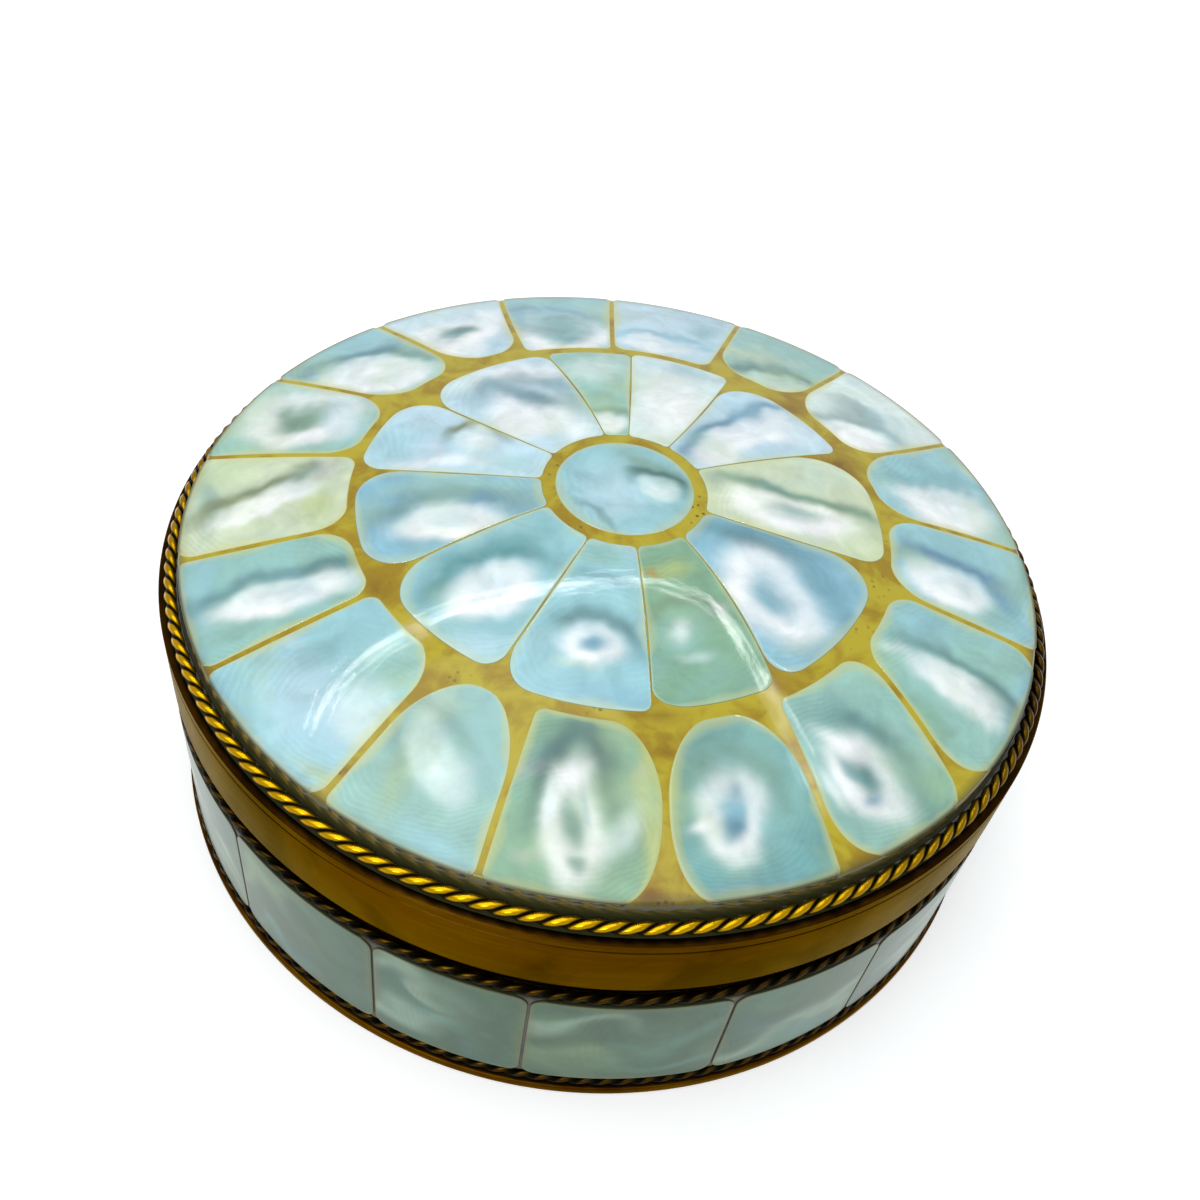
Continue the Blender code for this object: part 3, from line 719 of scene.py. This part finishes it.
outerShapes = (
    (27.6, 43.9, (3.2, 2.0, 0.8, 1.2)), (27.6, 43.9, (1.2, (3.4, 4.2), 1.0, 1.6)),
    (28.2, 43.9, ((4.6, 7.0), (4.6, 7.5), 1.0, 0.6)), (28.0, 43.9, (0.9, (4.6, 7.6), 0.6, (3.6, 7.6))),
    (28.0, 43.9, ((4.2, 7.0), (4.9, 8.0), (4.2, 8.0), 0.5)),
    (28.0, 43.9, (0.8, (3.2, 4.0), (5.0, 6.2), (1.6, 2.4))),
    (28.4, 43.9, (2.2, 2.6, (5.4, 5.8), (3.0, 3.4))), (27.9, 43.9, ((3.6, 4.6), (3.4, 4.0), 0.8, 1.0)),
    (28.2, 43.9, ((3.4, 4.0), (4.0, 5.0), 0.8, 0.8)), (28.8, 43.9, ((3.6, 4.2), (4.0, 5.0), 0.8, 0.8)),
    (29.0, 43.9, ((3.8, 5.0), (4.2, 5.0), 1.4, 1.2)), (28.0, 43.9, (1.6, 1.4, 0.6, 0.6)),
    (27.8, 43.9, (0.8, 1.2, 0.6, 0.6)), (28.6, 43.9, ((3.2, 3.6), (4.4, 5.0), 0.6, 1.2)),
    (28.2, 43.9, ((3.4, 4.2), (3.6, 5.0), 0.8, 0.8)), (28.2, 43.9, ((3.8, 5.0), (2.6, 3.4), 0.6, 0.6)),
    (27.6, 43.9, (1.6, (2.8, 3.4), 0.8, 1.6)),
)
lidRings = {
    "inner": {"joints": innerJoints, "joint": 0.07, "shapes": innerShapes, "looks": innerLooks},
    "outer": {"joints": outerJoints, "joint": 0.5, "shapes": outerShapes, "looks": outerLooks},
}


def lidTiles():
    spot = np.linspace(0, turn, pearl["columns"], endpoint=False)
    outline = np.stack([np.cos(spot), 0.5 + 0.5 * np.sin(spot)], axis=-1)
    lidTile("lid_center_tile", "center", outline, discPlace(box["centerTile"]), centerLook)
    for ring, look in lidRings.items():
        joints = look["joints"] + ((look["joints"][0][0] + 360, look["joints"][0][1] + 360),)
        for i, (start, end, corners) in enumerate(look["shapes"]):
            first, second = joints[i], joints[i + 1]
            wideStart = math.radians(second[1] - first[1]) / 2 * start
            wideEnd = math.radians(second[0] - first[0]) / 2 * end
            outline = slabOutline(corners, wideStart, wideEnd, end - start)
            place = wedgePlace(first, second, start, end, look["joint"])
            lidTile(f"lid_{ring}_tile_{i + 1:02d}", ring, outline, place, look["looks"][i])


lidTiles()
print("lid tiles made")


# Side tiles
side = {
    "low": 2.6,
    "high": 17.4,
    "thick": 1.4,
    "joint": 0.2,
    "corner": 1.3,
    "edgeRound": 0.1,
    "bedFace": 45.85,
    "ground": "greyGreen",
    # clouds are drawn at random from these, white twice as often as the others
    "paints": ("sky", "greyGreen", "white", "green", "greyTeal", "teal", "cream", "white"),
    "marks": 8,               # on each tile
    "markAcross": (-0.8, 0.8),    # places and sizes as shares of a tile
    "markAlong": (0.1, 0.9),
    "markLong": (0.3, 0.9),
    "markWide": (0.08, 0.3),
    "markLean": 0.6,          # radians to either side
    "markStrength": 0.8,
    "bend": 0.12,             # share by which ripples bend their edges
    "bendSize": 9,
    "bendSeeds": (21, 61),
    "eyeAt": (0.3, 0.5),      # middle of the growth lines
    "eyeReach": 9,            # mm to a share
    "seed": 11,
}


def sidePlace(start, end):
    # An upright tile on the cylinder, from its (across, along) shares
    middle = math.radians(start + end) / 2
    half = math.radians(end - start) / 2 - side["joint"] / 2 / box["radius"]

    def place(uv, depth):
        angle = middle + half * uv[..., 0]
        r = box["radius"] - depth
        z = side["low"] + (side["high"] - side["low"]) * uv[..., 1]
        return np.stack([r * np.cos(angle), r * np.sin(angle), z], axis=-1) * mm
    return place


def sideTiles():
    draw = np.random.default_rng(side["seed"])
    tall = side["high"] - side["low"]
    joints = sideJoints + (sideJoints[0] + 360,)
    for i in range(len(sideJoints)):
        wide = math.radians(joints[i + 1] - joints[i]) / 2 * box["radius"]
        outline = slabOutline([side["corner"]] * 4, wide, wide, tall)
        place = sidePlace(joints[i], joints[i + 1])
        grid, uv, inset = tileGrid(outline, place, side["thick"], side["edgeRound"])
        colour = np.broadcast_to(paints[side["ground"]], grid.shape)
        waves = [ripple(grid, side["bendSize"], seed + i) for seed in side["bendSeeds"]]
        bent = uv + side["bend"] * np.stack(waves, axis=-1)
        for paint in draw.choice(side["paints"], side["marks"]):
            u, v = draw.uniform(*side["markAcross"]), draw.uniform(*side["markAlong"])
            markLong, markWide = draw.uniform(*side["markLong"]), draw.uniform(*side["markWide"])
            lean = draw.uniform(-side["markLean"], side["markLean"])
            du, dv = bent[..., 0] - u, (bent[..., 1] - v) * 2
            along = (du * math.cos(lean) + dv * math.sin(lean)) / markLong
            across = (dv * math.cos(lean) - du * math.sin(lean)) / markWide
            mask = side["markStrength"] * np.exp(-(along ** 2 + across ** 2))
            colour = soften(colour, str(paint), mask)
        node = f"side_tile_{i + 1:02d}"
        eyeU, eyeV = side["eyeAt"]
        eye = side["eyeReach"] * np.hypot(uv[..., 0] - eyeU, uv[..., 1] - eyeV)
        values = {"edge": inset, "eye": eye, "rimDark": np.zeros_like(inset)}
        mesh = surface(node + "_pearl", grid, uv=uv, values=values, paint=colour)
        addPiece(node + "_pearl", mesh, pearlFinishes["side"], [node])


sideTiles()
print("side tiles made")


def resinFinish():
    # Ochre patches, browned here and there, small dark pits in swarms, and dark towards the rim
    made = Finish("gold_resin")
    place = made.place()
    patch = made.noise(place, 240, 4, 0.55, 0.5)
    base = made.blend(resin["gold"], resin["deepGold"], patch.step(0.40, 0.64))
    burn = made.noise(place, 130, 4, 0.6, 0.8)
    burnt = (burn.step(0.58, 0.78) * 0.7 + made.value("burnt") * burn.step(0.25, 0.55)).clamped()
    base = made.blend(base, resin["brown"], burnt * 0.9)
    cell = {"Vector": place, "Scale": resin["pitsPerMetre"]}
    reach = made.node("TexVoronoi", {"feature": "F1"}, cell, out="Distance")
    number = made.node("TexVoronoi", {"feature": "F1"}, cell, out="Color")
    chance = made.node("SeparateColor", None, {0: number})
    swarm = (made.value("swarm") + made.noise(place, 150, 2, 0.5).step(0.58, 0.7) * 0.6).clamped()
    pits = reach.step(0.36, 0.22) * chance.step(0.72, 0.74) * swarm
    base = made.blend(base, resin["pit"], pits * 0.9)
    base = made.blend(base, resin["rimDarkTone"], made.value("rim"))
    height = made.noise(place, 500, 3, 0.5) - pits * 2.0
    return made.finish(
        Base_Color=base, Roughness=resin["roughness"], Coat_Weight=resin["coat"],
        Coat_Roughness=resin["coatRoughness"], Specular_IOR_Level=0.1,
        Normal=made.bump(height, 0.0001, 0.4),
    )


def resinBed():
    # Dome just under the tiles' face, the steep rim, the channel that the rope lies in, and the
    # underside back to the middle
    rim, bandTop = box["tileRim"], box["bandTop"]
    r = np.linspace(0, rim - 0.35, 60)
    top = np.stack([r, domeHeight(r) - resin["below"]], axis=-1)
    corner = domeHeight(rim) - resin["below"]
    wall = [(rim - 0.12, corner - 0.1), (rim, corner - 0.4), (rim + 0.05, corner - 2.0)]
    lip = box["radius"] - box["lipWall"]
    channel = [(rim + 0.3, bandTop + 0.25), (rim + 0.7, bandTop + 0.05), (lip, bandTop - 0.05)]
    under = np.linspace(lip, 0, 12)
    bottom = np.stack([under, domeHeight(under) - box["bedDepth"]], axis=-1)
    profile = np.concatenate([top, wall, channel, bottom])
    grid = turnedGrid(profile)
    shade = np.interp(profile[:, 0], resin["rimRadii"], resin["rimShare"])
    x, y = photoPlace(grid)
    values = {"rim": np.broadcast_to(shade[:, None], grid.shape[:2])}
    for name, spots in (("burnt", resin["burns"]), ("swarm", resin["swarms"])):
        total = sum(spot[5] * np.exp(-(ellipseReach(x, y, *spot[:5])[2] ** 2)) for spot in spots)
        values[name] = np.clip(total, 0, 1)
    mesh = surface("lid_resin", grid, values=values)
    addPiece("lid_resin", mesh, resinFinish(), ["lid_resin_bed"])


def darkFinish():
    made = Finish("dark_resin")
    dirt = made.noise(made.place(), 300, 4, 0.6)
    base = made.blend(resin["dark"], resin["dust"], dirt.step(0.4, 0.7))
    return made.finish(Base_Color=base, Roughness=resin["darkRoughness"])


def sideBed():
    back, face, low, high = box["bedBack"], side["bedFace"], side["low"], side["high"]
    profile = [(back, high), (face, high), (face, low), (back, low)]
    mesh = surface("side_resin", turnedGrid(softCorners(profile, box["bedCorner"])), loop=True)
    addPiece("side_resin", mesh, darkFinish(), ["side_resin_bed"])


resinBed()
sideBed()
print("resin made")


# Brass
brass = {
    "colour": tone(80, 49, 3),
    "worn": tone(104, 76, 16),
    "dark": tone(40, 18, 1),
    "ropeShadeAndSeam": tone(26, 21, 5),
    "edgeTint": tone(225, 205, 150),
    "roughness": 0.34,
    "seamBelow": 1.13,        # from the band's top edge
    "bandShade": 0.55,          # painted shade over the band, save for one brighter stretch of it at the front, where the light falls
    "brightAt": 4.5,          # radians
    "brightReach": 0.32,
}
rope = {
    "colour": tone(222, 172, 14),
    # a darker brass, for random stains, for painted shade round the ring and for the darker ropes
    "dullAndShade": tone(74, 52, 8),
    # painted shade in the crevices between the strands and under them
    "creviceShade": tone(16, 12, 3),
    "lean": 0.36,             # from the rope's line to a strand's, as a share of the rope's radius
    "ringsPerTurn": 18,
    "sides": 12,
    # painted shade round the ring, darker away from the front and its left
    "ringShadeMiddle": 0.95,
    "ringShadeSwing": 1.2,
    "ringShadeTurn": 0.35,       # radians
}
# Each rope: its ring's radius and the height of its middle, half its thickness, its twists to a turn
# of the ring, how much darker it is, and how far from the other strand its crevice is darkened as
# painted shade and is clear, in radii of a strand
ropes = {
    "lid_rope": {
        "radius": 44.8, "height": 29.25, "half": 0.6, "twists": 70, "ropeDarkening": 0.0, "creviceShade": (1.5, 1.85),
    },
    "side_rope": {
        "radius": 45.5, "height": 18.15, "half": 0.5, "twists": 71, "ropeDarkening": 1.0, "creviceShade": (1.85, 2.1),
    },
    "foot_rope": {
        "radius": 45.7, "height": 1.8, "half": 0.5, "twists": 71, "ropeDarkening": 1.1, "creviceShade": (1.9, 2.1),
    },
}


def brassFinish():
    made = Finish("aged_brass")
    place = made.place()
    streak = made.noise(made.mapped(place, (1.0, 1.0, 9.0)), 160, 4, 0.6, 0.2)
    stain = made.noise(place, 90, 4, 0.6, 0.5)
    base = made.blend(brass["colour"], brass["worn"], streak.step(0.45, 0.75) * 0.6)
    # Random stains, and over the band painted shade that leaves its front lighter where the light falls
    stainAndShade = (stain.step(0.42, 0.68) * 0.8 + made.value("bandShade")).clamped()
    base = made.blend(base, brass["dark"], stainAndShade)
    # Painted shade from the rope on the band's top, and the seam's dark line
    base = made.blend(base, brass["ropeShadeAndSeam"], made.value("ropeShadeAndSeam"))
    rough = stain * 0.2 + streak * 0.12 + (brass["roughness"] - 0.14)
    return made.finish(Base_Color=base, Metallic=1.0, Roughness=rough, Specular_Tint=brass["edgeTint"],
                       Normal=made.bump(streak, 0.00005, 0.35))


def ropeFinish(name, ropeDarkening):
    made = Finish(name)
    place = made.place()
    paintedRopeShade = made.value("paintedRopeShade")
    stain = made.noise(place, 160, 3, 0.6)
    # Painted shade round the ring, random stains and each rope's darkening draw the brass to its darker
    # colour
    dullAndShade = made.value("paintedRingShade") + stain * 0.3 + (ropeDarkening - 0.15)
    base = made.blend(rope["colour"], rope["dullAndShade"], dullAndShade.clamped())
    # Painted shade in the crevices and under the strands
    base = made.blend(base, rope["creviceShade"], paintedRopeShade)
    return made.finish(Base_Color=base, Metallic=1.0, Roughness=stain * 0.15 + 0.16 + paintedRopeShade * 0.4)


agedShadedBrass = brassFinish()


def lidShell():
    # The plate under the tiles, and the band with its thin lip and a fine seam near its top edge.
    # Beside the rope the band's top is darkened as painted shade from the rope, the seam is a dark line, and
    # painted shade darkens the band save at its front
    top, low, out = box["bandTop"], box["bandLow"], box["radius"]
    lip, inside, seam = out - box["lipWall"], out - box["bandWall"], top - brass["seamBelow"]
    over = [(x, domeHeight(x) - box["plateOver"]) for x in np.linspace(0, lip, 14)]
    outside = [
        (lip, top - 0.06), (lip + 0.06, top), (out - 0.1, top), (out, top - 0.1), (out, seam + 0.13),
        (out - 0.09, seam + 0.05), (out - 0.09, seam - 0.05), (out, seam - 0.13), (out, low + 0.3),
        (out - 0.08, low + 0.06), (out - 0.2, low), (inside + 0.1, low), (inside, low + 0.1),
    ]
    under = [(x, domeHeight(x) - box["plateUnder"]) for x in np.linspace(inside, 0, 14)]
    profile = np.array(over + outside + under)
    grid = turnedGrid(profile)
    # Painted shade from the rope on the band's top beside it, and a dark line in the seam
    nearRope = np.interp(profile[:, 0], (out - 0.35, out - 0.1), (0.92, 0.1)) * (profile[:, 1] > top - 0.3)
    inSeam = (np.abs(profile[:, 1] - seam) < 0.08) * 0.75
    ropeShadeAndSeam = np.broadcast_to(np.maximum(nearRope, inSeam)[:, None], grid.shape[:2])
    # Painted shade round the band, save for a brighter stretch at the front where the light falls
    angle = np.arctan2(grid[..., 1], grid[..., 0]) % turn
    fromBright = (angle - brass["brightAt"]) / brass["brightReach"]
    bandShade = brass["bandShade"] * (1 - np.exp(-(fromBright ** 2)))
    mesh = surface("lid_brass", grid, values={"ropeShadeAndSeam": ropeShadeAndSeam, "bandShade": bandShade}, sharp=30)
    addPiece("lid_brass", mesh, agedShadedBrass, ["lid_shell"])


def baseShell():
    # The floor, the wall behind the side tiles, and the neck with the ledge outside it
    profile = [
        (0.0, box["floor"]), (box["shellInside"], box["floor"]), (box["shellInside"], box["ledgeLow"]),
        (box["neckInside"], box["ledgeTop"]), (box["neckInside"], box["neckTop"]),
        (box["neckFace"], box["neckTop"]), (box["neckFace"], box["ledgeTop"]),
        (box["ledgeFace"], box["ledgeTop"]), (box["ledgeFace"], box["ledgeLow"]),
        (box["shellFace"], box["ledgeLow"]), (box["shellFace"], 0.0), (0.0, 0.0),
    ]
    profile = softCorners(profile, box["shellCorner"], 3)
    mesh = surface("base_brass", turnedGrid(profile), sharp=30)
    addPiece("base_brass", mesh, agedShadedBrass, ["base_shell"])


def footRing():
    back, face, top = box["bedBack"], box["footFace"], box["footTop"]
    profile = [(back, top), (face, top), (face, 0.0), (back, 0.0)]
    profile = softCorners(profile, box["footCorner"], 5)
    mesh = surface("foot_brass", turnedGrid(profile), loop=True)
    addPiece("foot_brass", mesh, agedShadedBrass, ["foot_ring"])


def ropePatina(angle):
    # Painted shade round the ring: 0 towards the front and its left, 1 towards the right side and the back
    swing = rope["ringShadeSwing"] * np.sin(angle + rope["ringShadeTurn"])
    return np.clip(rope["ringShadeMiddle"] + swing, 0, 1)


def twistedRope(node, shape):
    # Two strands pressed together: each follows a helix about the ring's line, its angle growing by
    # the twists for a turn of the ring. A strand is darkened as painted shade where it dips near the
    # other one, where it doesn't face up, and round the ring away from the front
    along = np.linspace(0, turn, shape["twists"] * rope["ringsPerTurn"], endpoint=False)
    offset = shape["half"] * rope["lean"]
    wire = shape["half"] - offset
    start = np.array([0, math.pi])[:, None]
    twist = shape["twists"] * along + start
    out = np.stack([np.cos(along), np.sin(along), 0 * along], axis=-1)
    up = np.array([0, 0, 1.0])
    lean = np.cos(twist)[..., None] * out + np.sin(twist)[..., None] * up
    line = shape["radius"] * out + np.array([0, 0, shape["height"]]) + offset * lean
    ahead = np.roll(line, -1, axis=1) - np.roll(line, 1, axis=1)
    ahead /= np.linalg.norm(ahead, axis=-1, keepdims=True)
    normal = lean - ahead * np.sum(lean * ahead, axis=-1, keepdims=True)
    normal /= np.linalg.norm(normal, axis=-1, keepdims=True)
    across = np.cross(ahead, normal)
    spin = np.linspace(0, turn, rope["sides"], endpoint=False)
    c, s = np.cos(spin), np.sin(spin)
    grid = line[:, :, None] + wire * (c[:, None] * normal[:, :, None] + s[:, None] * across[:, :, None])
    facing = grid - line[:, :, None]
    lit = facing[..., 2] / np.linalg.norm(facing, axis=-1)
    beyond = np.sqrt(wire ** 2 + 4 * offset ** 2 + 4 * wire * offset * c) / wire  # from the other strand
    # Painted shade under each strand and in its crevice by the other strand
    below = np.interp(lit, (0.1, 0.6), (1.0, 0.0))
    paintedRopeShade = np.maximum(np.interp(beyond, shape["creviceShade"], (1.0, 0.0)), below)
    paintedRingShade = np.broadcast_to(ropePatina(along)[None, :, None], grid.shape[:3])
    values = {"paintedRopeShade": paintedRopeShade, "paintedRingShade": paintedRingShade}
    mesh = surface(node + "_wires", grid * mm, loop=True, values=values, sharp=80)
    addPiece(node + "_wires", mesh, ropeFinish(node + "_brass", shape["ropeDarkening"]), [node])


lidShell()
baseShell()
footRing()
for ropeNode, ropeShape in ropes.items():
    twistedRope(ropeNode, ropeShape)
print("brass made")


# Floor and light
studio = {
    "floorSize": 6.0,         # metres
    "floor": tone(252, 252, 252),
    "floorGlow": 0.25,        # keeps the shadow under the box faint, as on a lit table
    "sky": (0.95, 0.98, 1.0),
    "skyStrength": 0.6,
    # bundle of thin bright streaks, whose reflection crosses the lid through these photo pixels
    "glint": ((318, 735), (333, 688), (368, 655), (415, 628), (470, 604), (530, 590), (600, 582),
              (660, 581), (706, 596), (737, 632), (757, 668), (775, 702), (795, 745), (812, 788), (830, 822)),
    "glintAway": 0.9,         # metres from the lid
    "glintSteps": 90,
    "glintStreaks": 170,
    "glintSpread": 0.009,     # metres to either side, at that distance
    "glintWide": (0.0004, 0.0012),
    "glintLong": (3, 9),      # steps
    "glintStrength": 22.0,
    "glintSeed": 5,
    "halvings": 40,           # to find where a ray meets the lid
    "lampAim": (0, 0, 0.02),  # metres
    "lamps": {                # size and place in metres, and power in watts
        "overhead": {"size": 1.2, "place": (-0.25, -0.15, 1.1), "power": 5.5},
        "front_key": {"size": 0.25, "place": (-0.2, -0.6, 0.55), "power": 1.2},
    },
}


def makeFloor():
    half = studio["floorSize"] / 2
    mesh = bpy.data.meshes.new("floor")
    corners = [(-half, -half, 0), (half, -half, 0), (half, half, 0), (-half, half, 0)]
    mesh.from_pydata(corners, [], [(0, 1, 2, 3)])
    floor = bpy.data.objects.new("floor", mesh)
    bpy.context.scene.collection.objects.link(floor)
    made = Finish("floor")
    mesh.materials.append(made.finish(
        Base_Color=studio["floor"], Roughness=0.8, Emission_Color=(1.0, 1.0, 1.0),
        Emission_Strength=studio["floorGlow"],
    ))


def addLamp(name, shape):
    # A square lamp turned towards the box
    lamp = bpy.data.lights.new(name, "AREA")
    lamp.size = shape["size"]
    lamp.energy = shape["power"]
    item = bpy.data.objects.new(name, lamp)
    bpy.context.scene.collection.objects.link(item)
    item.location = shape["place"]
    away = Vector(studio["lampAim"]) - Vector(shape["place"])
    item.rotation_euler = away.to_track_quat("-Z", "Y").to_euler()


def lidReflection(spots):
    # Rays from the camera through the photo's pixels meet the dome, found by halving, and are turned
    # back there by its slope. Gives where they meet it and the directions in which they leave
    eye, right, up, ahead = cameraFrame()
    half = view["photoSize"] / 2
    reach = view["lens"] / view["sensor"] * view["photoSize"]
    rays = ahead + (spots[:, :1] - half) / reach * right - (spots[:, 1:] - half) / reach * up
    rays /= np.linalg.norm(rays, axis=-1, keepdims=True)
    near, far = np.zeros(len(rays)), np.full(len(rays), 4 * box["radius"] * mm)
    for _ in range(studio["halvings"]):
        middle = (near + far) / 2
        points = eye + rays * middle[:, None]
        over = points[:, 2] > domeHeight(np.hypot(points[:, 0], points[:, 1]) / mm) * mm
        near, far = np.where(over, middle, near), np.where(over, far, middle)
    r = np.hypot(points[:, 0], points[:, 1])
    power, rim = box["domePower"], box["tileRim"] * mm
    fall = box["domeRise"] * mm * power / rim * (r / rim) ** (power - 1)
    normal = np.stack([fall * points[:, 0] / r, fall * points[:, 1] / r, np.ones_like(r)], axis=-1)
    normal /= np.linalg.norm(normal, axis=-1, keepdims=True)
    return points, rays - 2 * np.sum(rays * normal, axis=-1, keepdims=True) * normal


def makeGlint():
    # Short streaks at random along and beside a far line, whose reflection crosses the lid
    pixels = np.array(studio["glint"], float)
    given = np.linspace(0, 1, len(pixels))
    fine = np.linspace(0, 1, studio["glintSteps"])
    spots = np.stack([np.interp(fine, given, pixels[:, i]) for i in range(2)], axis=-1)
    points, back = lidReflection(spots)
    line = points + back * studio["glintAway"]
    along = np.gradient(line, axis=0)
    across = np.cross(along, back)
    across /= np.linalg.norm(across, axis=-1, keepdims=True)
    draw = np.random.default_rng(studio["glintSeed"])
    count = studio["glintStreaks"]
    start = draw.integers(0, len(line) - studio["glintLong"][1], count)
    stop = start + draw.integers(*studio["glintLong"], count)
    aside = draw.normal(0, studio["glintSpread"], (count, 1))
    wide = draw.uniform(*studio["glintWide"], (count, 1)) / 2
    lean = draw.normal(0, studio["glintSpread"] / 5, (count, 1))
    corners = np.stack([
        line[start] + across[start] * (aside - wide), line[start] + across[start] * (aside + wide),
        line[stop] + across[stop] * (aside + lean + wide), line[stop] + across[stop] * (aside + lean - wide),
    ], axis=1)
    mesh = bpy.data.meshes.new("glint")
    mesh.from_pydata(corners.reshape(-1, 3).tolist(), [], np.arange(4 * count).reshape(-1, 4).tolist())
    made = Finish("glint")
    mesh.materials.append(made.finish(
        Base_Color=(0.0, 0.0, 0.0), Emission_Color=(1.0, 1.0, 1.0),
        Emission_Strength=studio["glintStrength"],
    ))
    item = bpy.data.objects.new("glint", mesh)
    bpy.context.scene.collection.objects.link(item)
    item.visible_camera = False


def makeLight():
    world = bpy.data.worlds.new("studio")
    bpy.context.scene.world = world
    world.use_nodes = True
    back = world.node_tree.nodes["Background"]
    back.inputs["Color"].default_value = (*studio["sky"], 1.0)
    back.inputs["Strength"].default_value = studio["skyStrength"]
    for name, shape in studio["lamps"].items():
        addLamp(name, shape)


makeFloor()
makeGlint()
makeLight()
bpy.context.scene.view_settings.view_transform = "Standard"
print("floor and light made")
